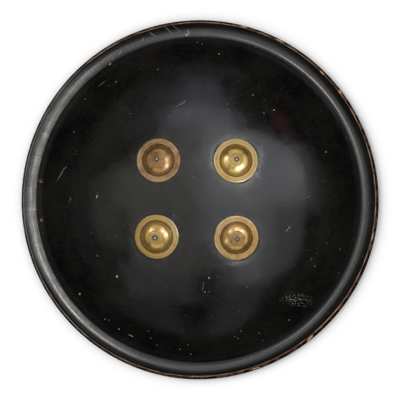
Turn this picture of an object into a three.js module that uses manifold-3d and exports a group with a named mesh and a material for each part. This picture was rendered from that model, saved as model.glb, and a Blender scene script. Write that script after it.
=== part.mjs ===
// A round hide shield, lying face up: a shallow dome with an upturned brim, four domed
// bosses held by ring bolts, and behind it four rings with two grip straps.
// Millimetres, +Z up. The origin is on the surface that the shield lies on, under its middle.
// Left and right, upper and lower are as seen from the front, with +Y as up.
import * as THREE from 'three';
import { mergeVertices } from 'three/addons/utils/BufferGeometryUtils.js';
import Module from 'manifold-3d';

const degrees = THREE.MathUtils.degToRad;

// Hide shell: driving dimensions
const SHIELD_RADIUS = 250;
const HIDE_THICKNESS = 4.5;
const LIP_THICKNESS = 5;
const DOME_RADIUS = 225;
const BOSS_CIRCLE_RADIUS = 73.5;
const SLOPE_AT_BOSSES = Math.tan(degrees(7.2));
const FLANK_ANGLE = degrees(43.5);
const SLOPE_AT_FLANK = Math.tan(FLANK_ANGLE);
const CREASE_RADIUS = 9;
const BRIM_CURVE_RADIUS = 18;
const BRIM_ANGLE = degrees(45);
const REST_RING_WIDTH = 4;
const SHELL_SIDES = 68;
const DOME_STATIONS = [0, 0.2, BOSS_CIRCLE_RADIUS / DOME_RADIUS, 0.45, 0.6, 0.74, 0.87, 1];
const ARC_STEPS = 3;

// Bosses and ring bolts: driving dimensions, along the dome's normal from its surface
const BOSS_CENTRES = {
  upper_left: [-51.0, 51.3],
  upper_right: [51.9, 50.8],
  lower_left: [-53.3, -50.2],
  lower_right: [52.5, -51.7],
};
const BOSS_SIDES = 24;
const FLANGE_RADIUS = 29.5;
const FLANGE_HEIGHT = 2.6;
const CAP_RADIUS = 20.6;
const CAP_FOOT_HEIGHT = 1.9;
const CAP_RISE = 12.6;
const GROOVE_OUTER_RADIUS = 22.4;
const BRASS_THICKNESS = 1.8;
const BOSS_HOLE_RADIUS = 2.6;
const SEAT_GAP = 0.3;
const CAP_STEPS = 5;

const SHANK_RADIUS = 2.2;
const HIDE_HOLE_RADIUS = 2.8;
const HEAD_RADIUS = 3.4;
const HEAD_HEIGHT = 1.7;
const PEEN_RADIUS = 1.9;
const COLLAR_RADIUS = 7;
const COLLAR_THICKNESS = 1.6;
const BOLT_SIDES = 12;
const EYE_RADIUS = 5.6;
const EYE_WIRE_RADIUS = 2;

// Rings and grip straps: driving dimensions
const RING_RADIUS = 15.5;
const RING_WIRE_RADIUS = 2.1;
const STRAP_WIDTH = 22;
const TONGUE_WIDTH = 11;
const TONGUE_LENGTH = 14;
const STRAP_THICKNESS = 3.2;
const FOLD_THICKNESS = 2.4;
const FOLD_LENGTH = 22;
const STRAP_SAG = 7;
const LOOP_HOLE_RADIUS = 3.5;
const LOOP_RADIUS = 6;
const STRAP_STATIONS = 12;

// Dome: its slope grows as a linear and a cubic term, set at the bosses and at the flank's foot
const CUBIC_SLOPE =
  (SLOPE_AT_FLANK / DOME_RADIUS - SLOPE_AT_BOSSES / BOSS_CIRCLE_RADIUS) /
  (DOME_RADIUS ** 2 - BOSS_CIRCLE_RADIUS ** 2);
const LINEAR_SLOPE = SLOPE_AT_BOSSES / BOSS_CIRCLE_RADIUS - CUBIC_SLOPE * BOSS_CIRCLE_RADIUS ** 2;

const domeSlope = (r) => LINEAR_SLOPE * r + CUBIC_SLOPE * r ** 3;
const domeDrop = (r) => (LINEAR_SLOPE * r ** 2) / 2 + (CUBIC_SLOPE * r ** 4) / 4;

const GUTTER_RADIUS = DOME_RADIUS + CREASE_RADIUS * Math.sin(FLANK_ANGLE);
const FLANK_FOOT_HEIGHT = HIDE_THICKNESS + CREASE_RADIUS * (1 - Math.cos(FLANK_ANGLE));
const APEX_HEIGHT = FLANK_FOOT_HEIGHT + domeDrop(DOME_RADIUS);

const domeHeight = (r) => APEX_HEIGHT - domeDrop(r);

const MATERIALS = {
  hide: new THREE.MeshStandardMaterial({ color: 0x171614, roughness: 0.35, metalness: 0 }),
  brass: new THREE.MeshStandardMaterial({ color: 0xb8924a, roughness: 0.32, metalness: 1 }),
  iron: new THREE.MeshStandardMaterial({ color: 0x5a5652, roughness: 0.5, metalness: 1 }),
  leather: new THREE.MeshStandardMaterial({ color: 0x4a3020, roughness: 0.75, metalness: 0 }),
};

const shield = new THREE.Group();

const wasm = await Module();
wasm.setup();

// Solids from geometries, and back
function toSolid(geometry) {
  const bare = geometry.clone();
  bare.deleteAttribute('normal');
  bare.deleteAttribute('uv');
  const merged = mergeVertices(bare, 1e-4);
  const corners = merged.index.array;
  const triangles = [];
  for (let i = 0; i < corners.length; i += 3) {
    const [a, b, c] = corners.slice(i, i + 3);
    if (a !== b && b !== c && c !== a) triangles.push(a, b, c);
  }
  const mesh = new wasm.Mesh({
    numProp: 3,
    vertProperties: merged.attributes.position.array,
    triVerts: new Uint32Array(triangles),
  });
  return new wasm.Manifold(mesh);
}

function toGeometry(solid) {
  const mesh = solid.getMesh();
  const geometry = new THREE.BufferGeometry();
  geometry.setAttribute('position', new THREE.BufferAttribute(mesh.vertProperties, 3));
  geometry.setIndex(new THREE.BufferAttribute(mesh.triVerts, 1));
  geometry.computeVertexNormals();
  return geometry;
}

function addPart(name, geometry, material, parent = shield) {
  const part = new THREE.Mesh(geometry, material);
  part.name = name;
  parent.add(part);
  return part;
}

// A solid turned about Z, from a profile of [radius, height] points, lowest first outside
function turned(profile, sides) {
  const points = profile.map(([r, z]) => new THREE.Vector2(r, z));
  return new THREE.LatheGeometry(points, sides).rotateX(Math.PI / 2);
}

// A frame on the dome's surface at a boss, with +Z along the surface's normal
function bossFrame([x, y]) {
  const radius = Math.hypot(x, y);
  const lean = domeSlope(radius) / radius;
  const normal = new THREE.Vector3(lean * x, lean * y, 1).normalize();
  const frame = new THREE.Group();
  frame.position.set(x, y, domeHeight(radius));
  frame.quaternion.setFromUnitVectors(new THREE.Vector3(0, 0, 1), normal);
  frame.updateMatrixWorld(true);
  return frame;
}

// Front of the shell as stations of { r, z, angle }, angle being the surface's slope outward
function frontStations() {
  const stations = DOME_STATIONS.map((share) => {
    const r = share * DOME_RADIUS;
    return { r, z: domeHeight(r), angle: -Math.atan(domeSlope(r)) };
  });
  for (let i = 1; i <= ARC_STEPS; i++) {
    const angle = -FLANK_ANGLE * (1 - i / ARC_STEPS);
    const r = GUTTER_RADIUS + CREASE_RADIUS * Math.sin(angle);
    stations.push({ r, z: HIDE_THICKNESS + CREASE_RADIUS * (1 - Math.cos(angle)), angle });
  }
  for (let i = 1; i <= ARC_STEPS; i++) {
    const angle = (BRIM_ANGLE * i) / ARC_STEPS;
    const r = GUTTER_RADIUS + BRIM_CURVE_RADIUS * Math.sin(angle);
    stations.push({ r, z: HIDE_THICKNESS + BRIM_CURVE_RADIUS * (1 - Math.cos(angle)), angle });
  }
  const brimTop = stations.at(-1);
  const lipRadius = SHIELD_RADIUS - LIP_THICKNESS * Math.sin(BRIM_ANGLE);
  const lipHeight = brimTop.z + (lipRadius - brimTop.r) * Math.tan(BRIM_ANGLE);
  stations.push({ r: lipRadius, z: lipHeight, angle: BRIM_ANGLE });
  return stations;
}

// Back of the shell: the front set in by the hide's thickness, with a flat ring where it rests
function backPoint({ r, z, angle }, thickness) {
  return [r + thickness * Math.sin(angle), z - thickness * Math.cos(angle)];
}

function makeHideShell() {
  const front = frontStations();
  const lip = front.at(-1);
  const back = [backPoint(lip, LIP_THICKNESS)];
  for (const station of front.slice(0, -1).reverse()) {
    if (station.angle === 0 && station.r > 0) {
      back.push([GUTTER_RADIUS + REST_RING_WIDTH / 2, 0], [GUTTER_RADIUS - REST_RING_WIDTH / 2, 0]);
    } else {
      back.push(backPoint(station, HIDE_THICKNESS));
    }
  }
  const profile = [...front.map(({ r, z }) => [r, z]), ...back].reverse();
  let shell = toSolid(turned(profile, SHELL_SIDES));
  for (const centre of Object.values(BOSS_CENTRES)) {
    const depth = 2 * HIDE_THICKNESS;
    const hole = new THREE.CylinderGeometry(HIDE_HOLE_RADIUS, HIDE_HOLE_RADIUS, 2 * depth, BOLT_SIDES);
    hole.rotateX(Math.PI / 2);
    hole.applyMatrix4(bossFrame(centre).matrixWorld);
    shell = shell.subtract(toSolid(hole));
  }
  addPart('hide_shell', toGeometry(shell), MATERIALS.hide);
}

// Points of a round cap from its foot up to its hole
function capPoints(footRadius, footHeight, rise, steps) {
  const sphereRadius = (footRadius ** 2 + rise ** 2) / (2 * rise);
  const centreHeight = footHeight + rise - sphereRadius;
  const footAngle = Math.asin(footRadius / sphereRadius);
  const holeAngle = Math.asin(BOSS_HOLE_RADIUS / sphereRadius);
  const points = [];
  for (let i = 0; i <= steps; i++) {
    const angle = footAngle + ((holeAngle - footAngle) * i) / steps;
    points.push([sphereRadius * Math.sin(angle), centreHeight + sphereRadius * Math.cos(angle)]);
  }
  return points;
}

const CAP_TOP = capPoints(CAP_RADIUS, CAP_FOOT_HEIGHT, CAP_RISE, 1).at(-1)[1];

// Hollow boss: cap, groove and flange outside, and the brass's thickness inside
function makeBoss(name, frame) {
  const innerFoot = CAP_RADIUS - BRASS_THICKNESS;
  const flangeUnderside = SEAT_GAP - domeDrop(FLANGE_RADIUS);
  const outside = [
    [FLANGE_RADIUS, flangeUnderside],
    [FLANGE_RADIUS, FLANGE_HEIGHT - 1.2],
    [FLANGE_RADIUS - 1.2, FLANGE_HEIGHT],
    [GROOVE_OUTER_RADIUS, FLANGE_HEIGHT + 0.5],
    ...capPoints(CAP_RADIUS, CAP_FOOT_HEIGHT, CAP_RISE, CAP_STEPS),
  ];
  const inside = capPoints(innerFoot, SEAT_GAP, CAP_RISE + CAP_FOOT_HEIGHT - BRASS_THICKNESS, CAP_STEPS - 1);
  const profile = [...outside, ...inside.reverse(), outside[0]];
  addPart('boss_' + name, turned(profile, BOSS_SIDES), MATERIALS.brass, frame);
}

// Ring bolt: peened head, shank, collar and an eye whose hole runs along X
function makeRingBolt(name, frame) {
  const headFoot = CAP_TOP + SEAT_GAP;
  const collarTop = -HIDE_THICKNESS - SEAT_GAP;
  const collarFoot = collarTop - COLLAR_THICKNESS;
  const profile = [
    [0, collarFoot],
    [COLLAR_RADIUS - 0.6, collarFoot],
    [COLLAR_RADIUS, collarTop],
    [SHANK_RADIUS, collarTop],
    [SHANK_RADIUS, headFoot],
    [HEAD_RADIUS, headFoot],
    [PEEN_RADIUS, headFoot + HEAD_HEIGHT / 2],
    [0, headFoot + HEAD_HEIGHT],
  ];
  const eye = new THREE.TorusGeometry(EYE_RADIUS, EYE_WIRE_RADIUS, 6, BOLT_SIDES);
  eye.rotateY(Math.PI / 2);
  const eyeDepth = collarFoot - EYE_RADIUS - EYE_WIRE_RADIUS / 2;
  eye.translate(0, 0, eyeDepth);
  const bolt = toSolid(turned(profile, BOLT_SIDES)).add(toSolid(eye));
  addPart('ring_bolt_' + name, toGeometry(bolt), MATERIALS.iron, frame);
  return frame.localToWorld(new THREE.Vector3(0, 0, eyeDepth));
}

// Ring: hangs upright in its eye, and returns the middle of its lowest bar
function makeRing(name, eyeCentre) {
  const ringGap = EYE_RADIUS - EYE_WIRE_RADIUS - RING_WIRE_RADIUS - SEAT_GAP;
  const ring = new THREE.TorusGeometry(RING_RADIUS, RING_WIRE_RADIUS, 7, 18);
  ring.rotateX(Math.PI / 2);
  const part = addPart('ring_' + name, ring, MATERIALS.iron);
  part.position.set(eyeCentre.x, eyeCentre.y, eyeCentre.z - ringGap - RING_RADIUS);
  return new THREE.Vector3(part.position.x, part.position.y, part.position.z - RING_RADIUS);
}

// Outline of a strap seen from the side, between the two ring bars, as [along, height]
function strapOutline(length) {
  const half = length / 2;
  const span = half - LOOP_RADIUS;
  const middle = (y) => -STRAP_SAG * (1 - (y / half) ** 2);
  const outline = [];
  const loopEnd = (centre, from) => {
    for (let i = 0; i <= 6; i++) {
      const angle = from + (Math.PI * i) / 6;
      outline.push([centre + LOOP_RADIUS * Math.cos(angle), LOOP_RADIUS * Math.sin(angle)]);
    }
  };
  loopEnd(half, -Math.PI / 2);
  for (let i = 1; i < STRAP_STATIONS; i++) {
    const y = span * (1 - (2 * i) / STRAP_STATIONS);
    outline.push([y, middle(y) + STRAP_THICKNESS / 2]);
  }
  loopEnd(-half, Math.PI / 2);
  for (let i = 1; i < STRAP_STATIONS; i++) {
    const y = span * ((2 * i) / STRAP_STATIONS - 1);
    const fold = half - Math.abs(y) < FOLD_LENGTH ? FOLD_THICKNESS : 0;
    outline.push([y, middle(y) - STRAP_THICKNESS / 2 - fold]);
  }
  return outline;
}

// Outline of a strap seen from above: full width, with a narrow tongue at each ring
function strapPlan(length) {
  const end = length / 2 + LOOP_RADIUS + 1;
  const shoulder = end - TONGUE_LENGTH;
  const taper = shoulder - (STRAP_WIDTH - TONGUE_WIDTH);
  const corner = (x, y) => new THREE.Vector2(x, y);
  return new THREE.Shape([
    corner(TONGUE_WIDTH / 2, end),
    corner(-TONGUE_WIDTH / 2, end),
    corner(-TONGUE_WIDTH / 2, shoulder),
    corner(-STRAP_WIDTH / 2, taper),
    corner(-STRAP_WIDTH / 2, -taper),
    corner(-TONGUE_WIDTH / 2, -shoulder),
    corner(-TONGUE_WIDTH / 2, -end),
    corner(TONGUE_WIDTH / 2, -end),
    corner(TONGUE_WIDTH / 2, -shoulder),
    corner(STRAP_WIDTH / 2, -taper),
    corner(STRAP_WIDTH / 2, taper),
    corner(TONGUE_WIDTH / 2, shoulder),
  ]);
}

// Grip strap: made along Y about its own middle, then turned to join its two ring bars
function makeGripStrap(name, upperBar, lowerBar) {
  const length = upperBar.distanceTo(lowerBar);
  const side = new THREE.Shape(strapOutline(length).map(([y, z]) => new THREE.Vector2(y, z)));
  for (const centre of [-length / 2, length / 2]) {
    side.holes.push(new THREE.Path().absarc(centre, 0, LOOP_HOLE_RADIUS, 0, 2 * Math.PI, true));
  }
  const wide = new THREE.ExtrudeGeometry(side, { depth: STRAP_WIDTH, bevelEnabled: false, curveSegments: 5 });
  wide.translate(0, 0, -STRAP_WIDTH / 2);
  const alongY = new THREE.Matrix4().makeBasis(
    new THREE.Vector3(0, 1, 0),
    new THREE.Vector3(0, 0, 1),
    new THREE.Vector3(1, 0, 0),
  );
  wide.applyMatrix4(alongY);
  const plan = new THREE.ExtrudeGeometry(strapPlan(length), { depth: 6 * LOOP_RADIUS, bevelEnabled: false });
  plan.translate(0, 0, -3 * LOOP_RADIUS);
  const strap = toSolid(wide).intersect(toSolid(plan));
  const part = addPart('grip_strap_' + name, toGeometry(strap), MATERIALS.leather);
  const direction = upperBar.clone().sub(lowerBar).normalize();
  part.quaternion.setFromUnitVectors(new THREE.Vector3(0, 1, 0), direction);
  part.position.copy(upperBar).add(lowerBar).multiplyScalar(0.5);
}

makeHideShell();

const ringBars = {};
for (const [name, centre] of Object.entries(BOSS_CENTRES)) {
  const frame = bossFrame(centre);
  shield.add(frame);
  makeBoss(name, frame);
  const eyeCentre = makeRingBolt(name, frame);
  ringBars[name] = makeRing(name, eyeCentre);
}

for (const side of ['left', 'right']) {
  makeGripStrap(side, ringBars['upper_' + side], ringBars['lower_' + side]);
}

export default shield;
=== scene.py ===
"""A round shield of black lacquered hide with four brass bosses, lying face up on a pale floor.

Metres, +Z up. Left and right, upper and lower are as seen from the front, with +Y as up.
"""
import math

import bpy
from mathutils import Matrix, Vector, noise


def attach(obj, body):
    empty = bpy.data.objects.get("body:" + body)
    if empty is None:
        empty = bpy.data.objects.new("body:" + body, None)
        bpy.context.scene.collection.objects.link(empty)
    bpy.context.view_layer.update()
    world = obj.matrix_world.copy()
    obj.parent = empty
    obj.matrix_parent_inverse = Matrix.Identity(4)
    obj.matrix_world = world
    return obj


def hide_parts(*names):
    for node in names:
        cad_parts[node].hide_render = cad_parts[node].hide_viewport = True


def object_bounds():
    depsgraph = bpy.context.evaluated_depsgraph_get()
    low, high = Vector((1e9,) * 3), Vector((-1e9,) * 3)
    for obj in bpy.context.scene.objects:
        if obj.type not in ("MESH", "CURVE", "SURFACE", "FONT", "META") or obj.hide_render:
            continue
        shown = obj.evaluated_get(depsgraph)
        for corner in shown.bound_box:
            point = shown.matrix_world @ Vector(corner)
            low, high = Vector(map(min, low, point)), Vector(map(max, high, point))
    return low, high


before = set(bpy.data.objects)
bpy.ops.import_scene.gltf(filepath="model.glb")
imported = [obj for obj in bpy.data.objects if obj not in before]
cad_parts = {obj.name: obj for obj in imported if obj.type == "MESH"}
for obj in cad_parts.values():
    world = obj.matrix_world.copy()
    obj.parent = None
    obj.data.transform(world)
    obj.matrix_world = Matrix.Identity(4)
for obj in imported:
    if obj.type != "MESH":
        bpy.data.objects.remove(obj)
cad_low, cad_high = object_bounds()

MM = 0.001
TAU = 2 * math.pi
UP = Vector((0, 0, 1))

# Camera, as in the photo: its distance, its lean from straight above, and focal length over width
PHOTO_SIDE = 400
FOCAL_RATIO = 2.6985
CAMERA_DISTANCE = 1.5
CAMERA_LEAN_X = math.radians(1.6)
CAMERA_LEAN_Y = math.radians(-0.65)
CAMERA_TARGET = Vector((0.0025, -0.0007, 0.010))
FIRST_HEIGHT = 0.04
HEIGHT_ROUNDS = 8

# Hide shell, as in the solid
SHIELD_RADIUS = cad_high.x
HIDE_THICKNESS = 4.5 * MM
LIP_THICKNESS = 5.0 * MM
DOME_RADIUS = 225 * MM
BOSS_CIRCLE_RADIUS = 73.5 * MM
FLANK_ANGLE = math.radians(43.5)
SLOPE_AT_FLANK = math.tan(FLANK_ANGLE)
SLOPE_AT_BOSSES = math.tan(math.radians(7.2))
CREASE_RADIUS = 9 * MM
BRIM_CURVE_RADIUS = 18 * MM
BRIM_ANGLE = math.radians(45)
REST_RING_WIDTH = 4 * MM

CUBIC_SLOPE = (SLOPE_AT_FLANK / DOME_RADIUS - SLOPE_AT_BOSSES / BOSS_CIRCLE_RADIUS) / (
    DOME_RADIUS**2 - BOSS_CIRCLE_RADIUS**2
)
LINEAR_SLOPE = SLOPE_AT_BOSSES / BOSS_CIRCLE_RADIUS - CUBIC_SLOPE * BOSS_CIRCLE_RADIUS**2
GUTTER_RADIUS = DOME_RADIUS + CREASE_RADIUS * math.sin(FLANK_ANGLE)
LIP_RADIUS = SHIELD_RADIUS - LIP_THICKNESS * math.sin(BRIM_ANGLE)

# Bosses and ring bolts, as in the solids: heights are along the dome's normal from its surface
BOSS_CENTRES = {
    "upper_left": (-51.0 * MM, 51.3 * MM),
    "upper_right": (51.9 * MM, 50.8 * MM),
    "lower_left": (-53.3 * MM, -50.2 * MM),
    "lower_right": (52.5 * MM, -51.7 * MM),
}
SEAT_GAP = 0.3 * MM
FLANGE_RADIUS = 29.5 * MM
FLANGE_HEIGHT = 2.6 * MM
GROOVE_OUTER_RADIUS = 22.4 * MM
CAP_RADIUS = 20.6 * MM
CAP_FOOT_HEIGHT = 1.9 * MM
CAP_RISE = 12.6 * MM
BRASS_THICKNESS = 1.8 * MM
BOSS_HOLE_RADIUS = 2.6 * MM
SHANK_RADIUS = 2.2 * MM
HEAD_RADIUS = 3.4 * MM
HEAD_HEIGHT = 1.7 * MM
COLLAR_RADIUS = 7 * MM
COLLAR_THICKNESS = 1.6 * MM
EYE_RADIUS = 5.6 * MM
EYE_WIRE_RADIUS = 2 * MM

# Rings and grip straps, as in the solids, but a strap is one folded band, thinner than the solid
RING_RADIUS = 15.5 * MM
RING_WIRE_RADIUS = 2.1 * MM
STRAP_WIDTH = 22 * MM
TONGUE_WIDTH = 11 * MM
LAYER_THICKNESS = 2.4 * MM
FOLD_LENGTH = 22 * MM
STRAP_SAG = 7 * MM
LOOP_RADIUS = 4.75 * MM

# Waves of the hand-cut outline: how many round it, height in mm, and turn in degrees
OUTLINE_WAVES = ((1, 1.2, 0), (2, 0.72, 169), (3, 0.39, -39), (4, 0.25, -42), (5, 0.18, -87))
OUTLINE_INSET = 1.0 * MM
# Width of the cut edge in mm: its mean, then its waves, all at their widest at one angle
EDGE_WIDTHS = (4.1, 0.8, 0.3)
WIDEST_ANGLE = math.radians(-45)


def smooth_step(low, high, x):
    t = min(max((x - low) / (high - low), 0), 1)
    return t * t * (3 - 2 * t)


def hump(x, centre, width):
    return math.exp(-(((x - centre) / width) ** 2))


def remap(x, low, high, to_low, to_high):
    return to_low + (x - low) / (high - low) * (to_high - to_low)


def polar(radius, angle, z=0.0):
    return Vector((radius * math.cos(angle), radius * math.sin(angle), z))


def soft_noise(point, scale, offset=0.0):
    """Noise from about -1 to 1, with features about 1 / scale metres across."""
    return noise.fractal(point * scale + Vector((offset, offset / 3, 0)), 1.0, 2.0, 2)


def relief(point, kind, offset=0.0):
    """Height of one kind of unevenness, given as its scale per metre and its height."""
    return soft_noise(point, kind[0], offset) * kind[1]


# Form of the dome and brim
def dome_slope(r):
    return LINEAR_SLOPE * r + CUBIC_SLOPE * r**3


def dome_drop(r):
    return LINEAR_SLOPE * r**2 / 2 + CUBIC_SLOPE * r**4 / 4


APEX_HEIGHT = HIDE_THICKNESS + CREASE_RADIUS * (1 - math.cos(FLANK_ANGLE)) + dome_drop(DOME_RADIUS)


def front_height(r):
    """Height of the shell's front at a radius, before its unevenness."""
    if r <= DOME_RADIUS:
        return APEX_HEIGHT - dome_drop(r)
    reach = r - GUTTER_RADIUS
    if reach <= 0:
        return HIDE_THICKNESS + CREASE_RADIUS - math.sqrt(CREASE_RADIUS**2 - reach**2)
    curve_end = BRIM_CURVE_RADIUS * math.sin(BRIM_ANGLE)
    bend = min(reach, curve_end)
    height = HIDE_THICKNESS + BRIM_CURVE_RADIUS - math.sqrt(BRIM_CURVE_RADIUS**2 - bend**2)
    return height + (reach - bend) * math.tan(BRIM_ANGLE)


def outline_radius(angle):
    """The hand-cut outline, with a wider brim at the right. Angle 0 is +X, and it grows towards +Y."""
    wave = sum(high * math.cos(count * angle - math.radians(turn)) for count, high, turn in OUTLINE_WAVES)
    return SHIELD_RADIUS + wave * MM - OUTLINE_INSET


def edge_width(angle):
    """Width of the cut edge as seen from above: widest at the lower right."""
    turn = angle - WIDEST_ANGLE
    return sum(width * math.cos(count * turn) for count, width in enumerate(EDGE_WIDTHS)) * MM


# Camera
def camera_axes():
    back = Vector((math.sin(CAMERA_LEAN_X), math.sin(CAMERA_LEAN_Y), 0))
    back.z = math.sqrt(1 - back.length_squared)
    right = Vector((0, 1, 0)).cross(back).normalized()
    return right, back.cross(right), back


CAMERA_RIGHT, CAMERA_UP, CAMERA_BACK = camera_axes()
CAMERA_PLACE = CAMERA_TARGET + CAMERA_DISTANCE * CAMERA_BACK


def make_camera():
    """Looks down on the shield from a little to the right and below, as in the photo."""
    camera = bpy.data.cameras.new("camera")
    camera.sensor_width = 36
    camera.lens = camera.sensor_width * FOCAL_RATIO
    camera.clip_start = 0.05
    camera.clip_end = 100
    made = bpy.data.objects.new("camera", camera)
    bpy.context.collection.objects.link(made)
    made.location = CAMERA_PLACE
    axes = Matrix((CAMERA_RIGHT, CAMERA_UP, CAMERA_BACK)).transposed()
    made.rotation_euler = axes.to_euler()
    bpy.context.scene.camera = made


def front_point(photo_x, photo_y):
    """Where the photo's pixel lies on the shell's front."""
    scale = PHOTO_SIDE * FOCAL_RATIO
    half = PHOTO_SIDE / 2
    ray = CAMERA_RIGHT * ((photo_x - half) / scale) - CAMERA_UP * ((photo_y - half) / scale) - CAMERA_BACK
    height = FIRST_HEIGHT
    for _ in range(HEIGHT_ROUNDS):
        point = CAMERA_PLACE + ray * ((height - CAMERA_PLACE.z) / ray.z)
        height = front_height(min(math.hypot(point.x, point.y), LIP_RADIUS))
    return point


# Meshes
def mesh_object(name, vertices, faces, body="root"):
    mesh = bpy.data.meshes.new(name)
    mesh.from_pydata(vertices, [], faces)
    mesh.validate()
    mesh.shade_smooth()
    made = bpy.data.objects.new(name, mesh)
    bpy.context.collection.objects.link(made)
    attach(made, body)
    return made


def add_value(piece, name, values):
    """A number on each vertex, which a material reads by its name."""
    layer = piece.data.attributes.new(name, "FLOAT", "POINT")
    layer.data.foreach_set("value", values)


def quad_rows(faces, rows, count, last, closed, first=0, flip=False):
    """Adds the quads between rows of count vertices. Closed joins the last row to the first."""
    for k in range(rows if closed else rows - 1):
        near, far = first + k * count, first + ((k + 1) % rows) * count
        for i in range(last):
            j = (i + 1) % count
            if flip:
                faces.append((near + i, near + j, far + j, far + i))
            else:
                faces.append((near + i, far + i, far + j, near + j))


def turned_mesh(profile, sides, place):
    """Vertices and faces of a closed profile turned about Z. place(r, z, angle, index) gives a vertex.

    A profile that starts and ends on the axis gets one vertex at each end.
    """
    open_at_axis = profile[0][0] == 0
    rows = profile[1:-1] if open_at_axis else profile
    shift = 1 if open_at_axis else 0
    count = len(rows)
    vertices, faces = [], []
    for k in range(sides):
        angle = TAU * k / sides
        vertices += [place(row[0], row[1], angle, i + shift) for i, row in enumerate(rows)]
    quad_rows(faces, sides, count, count - shift, True)
    if open_at_axis:
        first, end = len(vertices), len(vertices) + 1
        vertices += [place(0, profile[0][1], 0, 0), place(0, profile[-1][1], 0, count + 1)]
        for k in range(sides):
            near, far = k * count, ((k + 1) % sides) * count
            faces.append((first, far, near))
            faces.append((end, near + count - 1, far + count - 1))
    return vertices, faces


def turned_values(values, sides, open_at_axis):
    """One value for each vertex of turned_mesh, from one value for each profile point."""
    if not open_at_axis:
        return values * sides
    return values[1:-1] * sides + [values[0], values[-1]]


def ring_mesh(centre, radius, wire, around, across, axes, swell=None):
    """A torus round axes[2], with its wire's radius changed by swell(angle)."""
    vertices, faces = [], []
    for k in range(around):
        angle = TAU * k / around
        out = axes[0] * math.cos(angle) + axes[1] * math.sin(angle)
        size = wire * (1 + (swell(angle) if swell else 0))
        for i in range(across):
            turn = TAU * i / across
            point = centre + out * (radius + size * math.cos(turn))
            vertices.append(point + axes[2] * size * math.sin(turn))
    quad_rows(faces, around, across, across, True, flip=True)
    return vertices, faces


def join_solids(piece, other):
    """Joins other into piece as one closed body, and removes other."""
    modifier = piece.modifiers.new("join", "BOOLEAN")
    modifier.operation = "UNION"
    modifier.solver = "EXACT"
    modifier.object = other
    graph = bpy.context.evaluated_depsgraph_get()
    joined = bpy.data.meshes.new_from_object(piece.evaluated_get(graph))
    piece.modifiers.clear()
    piece.data = joined
    joined.shade_smooth()
    bpy.data.objects.remove(other)


# Hide shell
SHELL_SIDES = 512
DOME_STEPS = 64
DOME_STEP_POWER = 0.86
ARC_STEPS = 9
BRIM_STEPS = 14
LIP_STEPS = 5
EDGE_STEPS = 9
LIP_STEP_POWER = 0.7
EDGE_BULGE = 0.35 * MM

# Unevenness of the hide, each with its scale per metre and its height
WARP = (8, 0.5 * MM)
RIPPLE = (30, 0.07 * MM)
PEBBLE = (90, 0.012 * MM)
EDGE_NICKS = (160, 0.35 * MM)
# Its share on the brim, and where it fades beside the gutter
BRIM_SHARE = 0.6
DOME_FADE = 12 * MM
BRIM_FADE = 6 * MM


def shell_front():
    """Front profile as (r, z, slope), from the middle to the lip's arris."""
    stations = [(0, 0)]
    for i in range(1, DOME_STEPS + 1):
        r = DOME_RADIUS * (i / DOME_STEPS) ** DOME_STEP_POWER
        stations.append((r, -math.atan(dome_slope(r))))
    for i in range(1, ARC_STEPS + 1):
        angle = -FLANK_ANGLE * (1 - i / ARC_STEPS)
        stations.append((GUTTER_RADIUS + CREASE_RADIUS * math.sin(angle), angle))
    for i in range(1, BRIM_STEPS + 1):
        angle = BRIM_ANGLE * i / BRIM_STEPS
        stations.append((GUTTER_RADIUS + BRIM_CURVE_RADIUS * math.sin(angle), angle))
    brim_radius = stations[-1][0]
    for i in range(1, LIP_STEPS + 1):
        share = (i / LIP_STEPS) ** LIP_STEP_POWER
        stations.append((brim_radius + (LIP_RADIUS - brim_radius) * share, BRIM_ANGLE))
    return [(r, front_height(r), angle) for r, angle in stations]


def shell_profile():
    """Profile as (r, z, distance past the front arris), round to the middle of the back."""
    front = shell_front()
    lip_r, lip_z, _ = front[-1]
    outline = [(r, z, r - lip_r) for r, z, _ in front]
    for i in range(1, EDGE_STEPS):
        share = i / EDGE_STEPS
        bulge = EDGE_BULGE * (math.sin(math.pi * share) - share)
        depth = LIP_THICKNESS * share
        r = lip_r + depth * math.sin(BRIM_ANGLE) + bulge * math.cos(BRIM_ANGLE)
        z = lip_z - depth * math.cos(BRIM_ANGLE) + bulge * math.sin(BRIM_ANGLE)
        outline.append((r, z, depth))
    for r, z, angle in reversed(front):
        thick = HIDE_THICKNESS + (LIP_THICKNESS - HIDE_THICKNESS) * max(0, angle / BRIM_ANGLE)
        back_r, back_z = r + thick * math.sin(angle), z - thick * math.cos(angle)
        if r > 0 and abs(back_r - GUTTER_RADIUS) < REST_RING_WIDTH / 2:
            back_z = 0
        outline.append((max(back_r, 0), max(back_z, 0), LIP_THICKNESS + (lip_r - r) + 1 * MM))
    return outline, len(front)


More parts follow.
